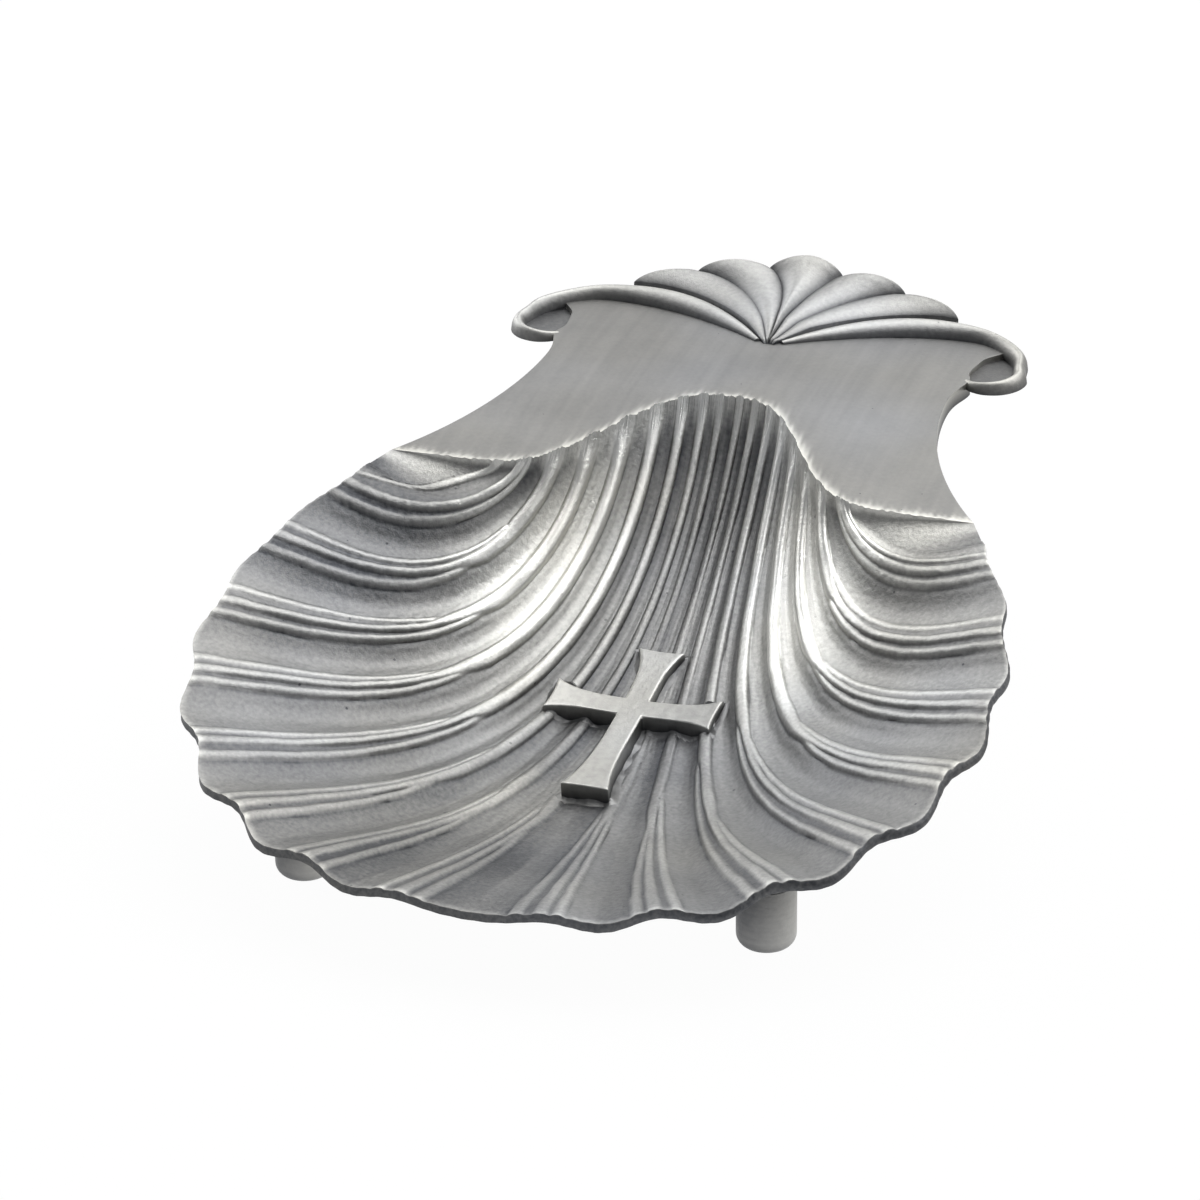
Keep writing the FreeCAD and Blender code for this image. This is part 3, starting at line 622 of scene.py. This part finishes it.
def thicken(piece, thick, edge_width, edge_degrees):
    """Gives a sheet its thickness, downwards, and a small rounded edge."""
    wall = piece.modifiers.new("thickness", "SOLIDIFY")
    wall.thickness = thick * mm
    wall.offset = -1
    edge = piece.modifiers.new("rounded_edge", "BEVEL")
    edge.width = edge_width * mm
    edge.segments = 3
    edge.limit_method = "ANGLE"
    edge.angle_limit = math.radians(edge_degrees)
    for name in ("thickness", "rounded_edge"):
        bpy.ops.object.modifier_apply(modifier=name)


across_cells = cross_cells["middle"] + 2 * cross_cells["side"]
along_cells = cross_cells["middle"] + cross_cells["upper"] + cross_cells["lower"]
cross = start_grid("flared_cross", across_cells + 1, along_cells + 1)
net = read_points(cross)
half_middle = cross_cells["middle"] / 2
step_x = np.rint((net[:, 0] + 1) / 2 * across_cells) - cross_cells["side"] - half_middle
step_y = np.rint((net[:, 1] + 1) / 2 * along_cells) - cross_cells["lower"] - half_middle
outer_x = np.clip(np.abs(step_x) - half_middle, 0, None)
outer_y = np.clip(np.abs(step_y) - half_middle, 0, None)
reach_y = np.where(step_y > 0, cross_arms["upper"], cross_arms["lower"])
cells_y = np.where(step_y > 0, cross_cells["upper"], cross_cells["lower"])
inner_x = np.clip(step_x / half_middle, -1, 1)
inner_y = np.clip(step_y / half_middle, -1, 1)
out_x = cross_waist + outer_x / cross_cells["side"] * (cross_arms["side"] - cross_waist)
out_y = cross_waist + outer_y / cells_y * (reach_y - cross_waist)
x = np.where(outer_x > 0, np.sign(step_x) * out_x, inner_x * arm_half(out_y, reach_y))
y = np.where(outer_y > 0, np.sign(step_y) * out_y, inner_y * arm_half(out_x, cross_arms["side"]))
dip_x = end_dip * (1 - np.abs(inner_y) ** 2) * (outer_x / cross_cells["side"]) ** 12
dip_y = end_dip * (1 - np.abs(inner_x) ** 2) * (outer_y / cells_y) ** 12
x = x - np.sign(step_x) * dip_x
y = y - np.sign(step_y) * dip_y
write_points(cross, np.stack([x, y, np.zeros_like(x)], axis=-1) * mm)
clear_marks(cross)
cross.data.vertices.foreach_set("select", (outer_x > 0.01) & (outer_y > 0.01))
bpy.context.tool_settings.mesh_select_mode = (True, False, False)
bpy.ops.object.mode_set(mode="EDIT")
bpy.ops.mesh.delete(type="VERT")
bpy.ops.object.mode_set(mode="OBJECT")
thicken(cross, cross_thick, cross_edge, 40)
flat = read_points(cross) / mm
depth = -flat[:, 2]
# Painted light: the bevel band takes the highlight tone and the sides the shade tone.
cross_tone = np.where(depth < cross_edge + 0.01, cross_tones["edge"], cross_tones["side"])
cross_tone = np.where(depth < 0.02, cross_tones["face"], cross_tone)
along_bow = np.where(flat[:, 1] < 0, lower_bow, cross_bow)
flat[:, 2] += flat[:, 0] ** 2 / (2 * cross_bow) + flat[:, 1] ** 2 / (2 * along_bow)
placed = cross_place(flat)
bpy.context.view_layer.update()


def bowl_floor(x, y):
    return bowl.ray_cast((x * mm, y * mm, 80 * mm), (0, 0, -1))[1].z / mm


for k in np.flatnonzero(depth > sunk_below):
    placed[k, 2] = min(placed[k, 2], bowl_floor(placed[k, 0], placed[k, 1]) - cross_sunk)
write_points(cross, placed * mm)
write_tone(cross, cross_tone)
finish_mesh(cross, 30)


def cross_outline(count):
    reaches = [cross_arms[arm] for arm in ("side", "upper", "side", "lower")]
    headings = [(1, 0), (0, 1), (-1, 0), (0, -1)]
    sides = []
    for reach, (c, s) in zip(reaches, headings):
        out = np.linspace(cross_waist, reach, 14)
        half = arm_half(out, reach)
        end = np.linspace(-cross_flare, cross_flare, 7)[1:-1]
        arm = np.concatenate([
            np.stack([out, -half], axis=-1),
            np.stack([np.full(len(end), reach), end], axis=-1),
            np.stack([out[::-1], half[::-1]], axis=-1)[:-1]])
        arm_x = arm[:, 0] * c - arm[:, 1] * s
        arm_y = arm[:, 0] * s + arm[:, 1] * c
        sides.append(np.stack([arm_x, arm_y], axis=-1))
    loop = np.concatenate(sides + [sides[0][:1]])
    length = np.concatenate([[0], np.cumsum(np.linalg.norm(np.diff(loop, axis=0), axis=1))])
    at = np.linspace(0, length[-1], count)
    return np.stack([np.interp(at, length, loop[:, 0]), np.interp(at, length, loop[:, 1])], axis=-1)


bead_count = 321
bead_turns = 10
bead_thick = 0.3
bead_start = -2.5
outline = cross_outline(bead_count)
heading = np.gradient(outline, axis=0)
heading[0] = heading[-1] = outline[1] - outline[-2]
heading /= np.linalg.norm(heading, axis=1, keepdims=True)
outward = np.stack([heading[:, 1], -heading[:, 0]], axis=-1)
around = np.linspace(0, 2 * math.pi, bead_turns)
at = np.linspace(0, 2 * math.pi, bead_count)
lump = np.sin(11 * at + 1) * np.sin(17 * at) + 0.7 * np.sin(37 * at + 2)
thick = bead_thick + 0.07 * lump + 0.16 * smooth_step((-12 - outline[:, 1]) / 10)
thick = thick + chance.uniform(-0.04, 0.04, (bead_turns, bead_count))
thick[:, -1] = thick[:, 0]
thick[-1] = thick[0]
bead = np.empty((bead_turns, bead_count, 3))
for k, turn in enumerate(around):
    bead[k, :, :2] = outline + outward * (thick[k] * math.cos(turn) ** 3 * 3)[:, None]
    bead[k, :, 2] = bead_start
bead = cross_place(bead.reshape(-1, 3)).reshape(bead.shape)
for k, turn in enumerate(around):
    floor_line = np.array([bowl_floor(x, y) for x, y in bead[k, :, :2]])
    bead[k, :, 2] = floor_line + thick[k] * (1.8 * math.sin(turn) ** 3 - 0.1)
solder = start_grid("cross_solder", bead_count, bead_turns)
shape_grid(solder, bead, 0.35 + 0.2 * (thick - bead_thick))


def merge_ends():
    bpy.ops.object.mode_set(mode="EDIT")
    bpy.ops.mesh.select_all(action="SELECT")
    bpy.ops.mesh.remove_doubles(threshold=0.00001)


merge_ends()
finish_mesh(solder, 60)
cross_metal = silver_finish("satin_cross_silver", 0.0, (900.0, 0.14, 0.0001),
                            ((900.0, 60.0, 300.0), 0.5, 0.1), (0.52, 0.2))
for piece in (cross, solder):
    dress(piece, cross_metal)
join_onto(cross, [solder])
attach(cross, "root")
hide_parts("cross")

# The handle plate is rolled brass sheet, arched a little front to back, sawn to a waisted outline
# and cut away below to the shell's arch, where it is soldered. Its face is satin brushed.

plate_thick = 2.8
plate_edge = 0.4
plate_end = (38.3, 56.4)
plate_waist = (35.6, 36.0)
plate_back = 68.5
plate_gap = 0.1
cusp_y = 42.8
cusp_reach = 1.3
corner_reach = 2.0
plate_columns = 161
plate_rows = 83
# The plate's bevelled edge is painted lighter as a highlight and its sides darker as shade.
plate_tones = {"face": 0.41, "edge": 0.7, "side": 0.24}


def plate_side(y, low):
    far_x = np.where(y < plate_waist[1], shoulder_half, plate_end[0])
    far_y = np.where(y < plate_waist[1], low, plate_end[1])
    across = far_x - plate_waist[0]
    along = far_y - plate_waist[1]
    radius = (across ** 2 + along ** 2) / (2 * across)
    cusp = cusp_reach * np.exp(-((y - cusp_y) / np.where(y < cusp_y, 4.0, 2.0)) ** 2)
    corner = corner_reach * smooth_step((y - 51.4) / 5.0)
    arc = plate_waist[0] + radius - np.sqrt(radius ** 2 - (y - plate_waist[1]) ** 2)
    return arc + cusp + corner


share_x = np.linspace(-1, 1, plate_columns)
share_y = np.linspace(0, 1, plate_rows) ** 1.4
share_x, share_y = np.meshgrid(share_x, share_y)
low_x = share_x * shoulder_half
low_y = arch_line(low_x) + plate_gap
back_rise = plate_back - plate_end[1]
back_radius = (plate_end[0] ** 2 + back_rise ** 2) / (2 * back_rise)
high_x = share_x * plate_end[0]
high_y = plate_back - back_radius + np.sqrt(back_radius ** 2 - high_x ** 2)
x = low_x * (1 - share_y) + high_x * share_y
y = low_y * (1 - share_y) + high_y * share_y
corner_low = arch_line(shoulder_half) + plate_gap
edge_y = corner_low * (1 - share_y) + plate_end[1] * share_y
edge_x = shoulder_half * (1 - share_y) + plate_end[0] * share_y
x = x + np.sign(share_x) * np.abs(share_x) ** 4 * (plate_side(edge_y, corner_low) - edge_x)
plate = start_grid("arched_plate", plate_columns, plate_rows)
plate_points = np.stack([x, y + shoulder_y, plate_height(y)], axis=-1)
shape_grid(plate, plate_points, np.full(x.shape, plate_tones["edge"]))
thicken(plate, plate_thick, plate_edge, 50)
flat = read_points(plate) / mm
depth = plate_height(flat[:, 1] - shoulder_y) - flat[:, 2]
on_top = depth < 0.36
plate_tone = np.where(on_top, plate_tones["edge"], plate_tones["side"])
plate_tone = np.where(depth < 0.03, plate_tones["face"], plate_tone)
arch_y = arch_line(flat[:, 0])
arch_share = (np.abs(flat[:, 0]) / arch_half) ** (arch_power - 1)
steep = (arch_y + arch_drop) * arch_power / arch_half * arch_share
past = (flat[:, 1] - shoulder_y - arch_y) / np.sqrt(1 + steep ** 2)
ragged = 0.3 * np.sin(1.9 * flat[:, 0]) * np.sin(1.1 * flat[:, 0] + 1)
ragged = 0.75 + ragged + 0.2 * np.sin(5.3 * flat[:, 0])
# Painted highlight: a light band along the plate's arch edge.
plate_tone = plate_tone + 0.38 * np.exp(-(past / (1.4 * ragged)) ** 2) * on_top
plate.data.attributes["tone"].data.foreach_set("value", plate_tone)
finish_mesh(plate, 35)
plate_metal = silver_finish("brushed_plate_silver", 0.0, (1300.0, 0.09, 0.00005),
                            ((600.0, 24.0, 60.0), 0.25, 0.1), (0.62, 0.2), cool=0.05)
dress(plate, plate_metal)
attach(plate, "root")
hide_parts("handle_plate")

# The crest is a cast palmette of five convex lobes that fan out from one point on the plate. It
# is soldered on the plate's back edge, dark in the creases and rubbed bright on the lobes.

crest_focus = 46.5
crest_reach = 24.0
lobe_bulge = 1.2
crest_root = 1.3
crest_height = 5.6
lobe_height = 2.5
tip_rows = 9


def crest_plan(lobe, along):
    """Lobe counts from the middle one, along runs from the focus to the outer edge."""
    rank = np.abs(lobe)
    offset = rank - np.rint(rank)
    bulge = np.where(rank < 2.5, lobe_bulge * (1 - (2 * offset) ** 2), 0.0)
    end_x = 13.9 * rank - 0.83 * rank ** 2
    end_y = crest_reach * (1 - 0.08 * rank - 0.02 * rank ** 2)
    length = np.hypot(end_x, end_y)
    end_x = end_x * (1 + bulge / length)
    end_y = end_y * (1 + bulge / length)
    lean_x = 6.4 * rank * (1 - np.exp(-rank))
    lean_y = crest_reach * 0.9 - 0.16 * rank ** 3
    x = lean_x * 2 * along * (1 - along) + end_x * along ** 2
    y = lean_y * 2 * along * (1 - along) + end_y * along ** 2
    return np.sign(lobe) * x, y + crest_focus


lobe_steps = np.linspace(-0.5, 0.5, 27)
lobe_steps = np.sin(np.pi * lobe_steps) * 0.2 + lobe_steps * 0.6
lobe_columns = np.unique(np.round(np.concatenate([k + lobe_steps for k in range(-2, 3)]), 6))
lobe_columns = np.concatenate([[-2.5], lobe_columns, [2.5]])
lobe_rows = np.concatenate([[0.03], np.linspace(0.03, 0.985, 44) ** 0.9, np.ones(tip_rows)])
lobe_net, along_net = np.meshgrid(np.clip(lobe_columns, -2.4999, 2.4999), lobe_rows)
crest_x, crest_y = crest_plan(lobe_net, along_net)
rank = np.rint(np.abs(lobe_net))
offset = lobe_net - np.rint(lobe_net)
fall = 1 - 0.45 * rank + 0.05 * rank ** 2
crown = np.clip(1 - (2 * offset) ** 2, 0, 1) ** 0.8
outer_lift = crest_height * (1 - 0.093 * lobe_net ** 2)
root_lift = crest_root + (outer_lift - crest_root) * along_net ** 1.3
crest_lift = root_lift * np.clip(along_net / 0.2, 0.3, 1)
crest_lift = crest_lift + lobe_height * fall * (0.25 + 0.75 * along_net) * crown
crest_lift = crest_lift * (1 - 0.05 * smooth_step((along_net - 0.86) / 0.14))
turn_down = np.ones(len(lobe_rows))
turn_down[-tip_rows:] = np.cos(np.linspace(0.12, 1, tip_rows) * math.pi / 2) ** 0.8
turn_down[0] = 0
crest_lift = crest_lift * turn_down[:, None]
crest_lift[:, 0] = 0
crest_lift[:, -1] = 0
crest_z = plate_height(crest_y) + 0.05 + crest_lift
crease = np.exp(-((np.abs(offset) - 0.5) / 0.09) ** 2)
crest_tone = 0.41 + 0.19 * crown ** 1.2 - 0.08 * crease - 0.1 * np.exp(-(along_net / 0.16) ** 2)
# Painted shade: the lobe tips are darker where they turn down.
crest_tone = crest_tone - 0.25 * (1 - turn_down[:, None])
crest = start_grid("palmette_crest", len(lobe_columns), len(lobe_rows))
shape_grid(crest, np.stack([crest_x, crest_y + shoulder_y, crest_z], axis=-1), crest_tone)
bpy.ops.object.mode_set(mode="EDIT")
bpy.context.tool_settings.mesh_select_mode = (False, True, False)
close_holes()
finish_mesh(crest, 60)
crest_metal = silver_finish("rubbed_crest_silver", 0.0, (1300.0, 0.16, 0.00012),
                            ((300.0, 60.0, 120.0), 0.0, 0.08), (0.62, 0.2), cool=0.15)
dress(crest, crest_metal)
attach(crest, "root")
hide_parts("crest_palmette")

# Each scroll is a raised band that runs out from the palmette's foot along the crest and curls
# into a small volute with a sunk eye. It is cast with the crest's finish and soldered on.

scroll_eye = np.array([40.4, 46.2])
ring_outer = 5.8
eye_radius = 4.7
eye_thick = 0.8
eye_sunk = 1.5
eye_edge = 0.2
# The sunk eye is painted darker, as shade in the recess.
eye_tone = 0.3
points_each = 10


def round_eye(degrees, radius):
    turn = math.radians(degrees)
    return scroll_eye + radius * np.array([math.cos(turn), math.sin(turn)])


def smooth_through(points, each):
    points = np.array(points, float)
    padded = np.concatenate([[2 * points[0] - points[1]], points, [2 * points[-1] - points[-2]]])
    share = np.linspace(0, 1, each, endpoint=False)[:, None]
    runs = []
    for k in range(1, len(padded) - 2):
        a, b, c, d = padded[k - 1:k + 3]
        runs.append(b + share * (c - a) / 2 + share ** 2 * (a - 2.5 * b + 2 * c - d / 2)
                    + share ** 3 * (1.5 * b - a / 2 - 1.5 * c + d / 2))
    return np.concatenate(runs + [points[-1:]])


back_steps = (0.06, 0.2, 0.4, 0.6, 0.8, 1.0)
front_steps = (0.06, 0.19, 0.36, 0.52, 0.67, 0.8)
ring_turns = (30, 0, -30, -60, -90, -115, -138)
inner_radii = (3.3, 3.2, 3.3, 3.6, 3.9, 4.2, 4.5)
back_edge = [np.array(crest_plan(np.array(2.52), np.array(a))) for a in back_steps]
back_edge += [np.array([35.6, 61.2]), np.array([40.7, 58.0]), np.array([44.4, 53.4])]
back_edge += [round_eye(t, ring_outer) for t in ring_turns]
front_edge = [np.array(crest_plan(np.array(3.5), np.array(a))) for a in front_steps]
front_edge += [np.array([35.3, 57.9]), np.array([39.0, 55.5]), np.array([42.1, 52.1])]
front_edge += [round_eye(t, r) for t, r in zip(ring_turns, inner_radii)]
tops = [0.5, 1.2, 1.9, 2.3, 2.4, 2.3, 2.1, 1.8, 1.6, 1.4, 1.2, 1.1, 0.9, 0.7, 0.4, 0.1]
bottoms = [0.05] * 5 + [0.0, -0.3, -0.7, -1.0] + [-1.2] * 7
heights = smooth_through(np.stack([tops, bottoms], axis=-1), points_each)
back_line = smooth_through(back_edge, points_each)
front_line = smooth_through(front_edge, points_each)
over = np.linspace(0, 1, 19)
crown = np.clip(1 - np.abs(2 * over - 1) ** 2, 0, 1) ** 0.55
under = np.linspace(1, 0, 5)[1:]
cross_share = np.concatenate([over, under])[None, :, None]
cross_crown = np.concatenate([crown, np.zeros(len(under))])[None, :]
plan = front_line[:, None, :] * (1 - cross_share) + back_line[:, None, :] * cross_share
band_lift = heights[:, 1:2] + (heights[:, :1] - heights[:, 1:2]) * cross_crown
band_z = plate_height(plan[..., 1]) + band_lift
# Painted light: the band's crown is painted lighter as a highlight and its walls and underside
# darker as shade.
band_tone = 0.28 + 0.38 * cross_crown ** 1.5 + np.zeros_like(band_z)
eye_z = plate_height(scroll_eye[1]) - eye_sunk
for side, name, node in ((1, "right_volute", "right_scroll"), (-1, "left_volute", "left_scroll")):
    band_points = np.stack([side * plan[..., 0], plan[..., 1] + shoulder_y, band_z], axis=-1)
    band = start_grid(name, band_points.shape[1], len(band_points))
    shape_grid(band, band_points, band_tone)
    merge_ends()
    bpy.context.tool_settings.mesh_select_mode = (False, True, False)
    close_holes()
    finish_mesh(band, 60)
    place = (side * scroll_eye[0], scroll_eye[1] + shoulder_y, eye_z + eye_thick / 2)
    eye = add_cylinder(place, eye_radius, eye_thick, 72)
    for vertex in eye.data.vertices:
        beyond = vertex.co.y / mm - shoulder_y - scroll_eye[1]
        if beyond > 0:
            vertex.co.y += 1.5 * beyond * mm
            vertex.co.x -= side * 0.35 * beyond * mm
    bpy.ops.object.mode_set(mode="EDIT")
    bpy.ops.mesh.bevel(offset=eye_edge * mm, segments=2)
    bpy.ops.object.mode_set(mode="OBJECT")
    write_tone(eye, np.full(len(eye.data.vertices), eye_tone))
    finish_mesh(eye, 40)
    join_onto(band, [eye])
    dress(band, crest_metal)
    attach(band, "root")
    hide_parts(node)

# The floor is a plain white studio sheet. To the camera and in reflections it reads as white,
# and the shell's own soft shadow still falls on it.

floor_glow = 0.97
bpy.ops.object.select_all(action="DESELECT")
bpy.ops.mesh.primitive_plane_add(size=8.0, location=(0, 0, 0))
floor = bpy.context.object
floor.name = "studio_floor"
white = bpy.data.materials.new("studio_white")
white.use_nodes = True
tree = white.node_tree
pen = Shade(tree)
path = tree.nodes.new("ShaderNodeLightPath")
seen = Shade(tree, path.outputs["Is Camera Ray"]) + Shade(tree, path.outputs["Is Glossy Ray"])
seen = seen + Shade(tree, path.outputs["Is Transmission Ray"])
glow = pen.node("ShaderNodeEmission", None, {"Color": (1.0, 1.0, 1.0, 1.0), "Strength": 1.0})
sheet = tree.nodes["Principled BSDF"]
sheet.inputs["Base Color"].default_value = (0.86, 0.86, 0.86, 1.0)
sheet.inputs["Roughness"].default_value = 0.9
mixed = pen.node("ShaderNodeMixShader", None, {
    0: seen * floor_glow, 1: Shade(tree, sheet.outputs[0]), 2: glow})
tree.links.new(mixed.socket, tree.nodes["Material Output"].inputs["Surface"])
floor.data.materials.append(white)

# Soft studio light: one wide box overhead, one behind, one at each side, and a grey room.

room_colour = (0.5, 0.51, 0.53, 1.0)
room_strength = 0.41
scene = bpy.context.scene
scene.view_settings.view_transform = "Standard"
world = bpy.data.worlds.new("studio_room")
scene.world = world
world.use_nodes = True
background = world.node_tree.nodes["Background"]
background.inputs["Color"].default_value = room_colour
background.inputs["Strength"].default_value = room_strength
target = Vector((0.0, 0.0, 0.03))
boxes = {
    "overhead_box": ((0.15, 0.35, 1.2), 1.2, 13.3),
    "back_box": ((0.0, 1.4, 0.9), 1.2, 5.7),
    "left_box": ((-1.1, 0.6, 0.55), 1.1, 12.0),
    "right_box": ((1.1, 0.4, 0.8), 1.0, 9.0),
}
for name, (place, size, power) in boxes.items():
    lamp = bpy.data.lights.new(name, "AREA")
    lamp.shape = "SQUARE"
    lamp.size = size
    lamp.energy = power
    holder = bpy.data.objects.new(name, lamp)
    scene.collection.objects.link(holder)
    holder.location = place
    holder.rotation_euler = (target - Vector(place)).to_track_quat("-Z", "Y").to_euler()

# The camera stands to the right of the front at the photograph's height, with a long lens.

camera_place = (0.251796, -0.732977, 0.372831)
camera_data = bpy.data.cameras.new("studio_camera")
camera_data.sensor_width = 36.0
camera_data.lens = 155.913
camera_data.clip_end = 30.0
camera = bpy.data.objects.new("studio_camera", camera_data)
scene.collection.objects.link(camera)
turn = math.radians(19.5895)
rise = math.radians(23.9869)
roll = math.radians(-0.5432)
away = Vector((math.sin(turn) * math.cos(rise), -math.cos(turn) * math.cos(rise), math.sin(rise)))
right = Vector((math.cos(turn), math.sin(turn), 0.0))
up = away.cross(right)
tilted_right = right * math.cos(roll) + up * math.sin(roll)
tilted_up = up * math.cos(roll) - right * math.sin(roll)
aim = Matrix((tilted_right, tilted_up, away)).transposed().to_4x4()
camera.matrix_world = Matrix.Translation(camera_place) @ aim
scene.camera = camera
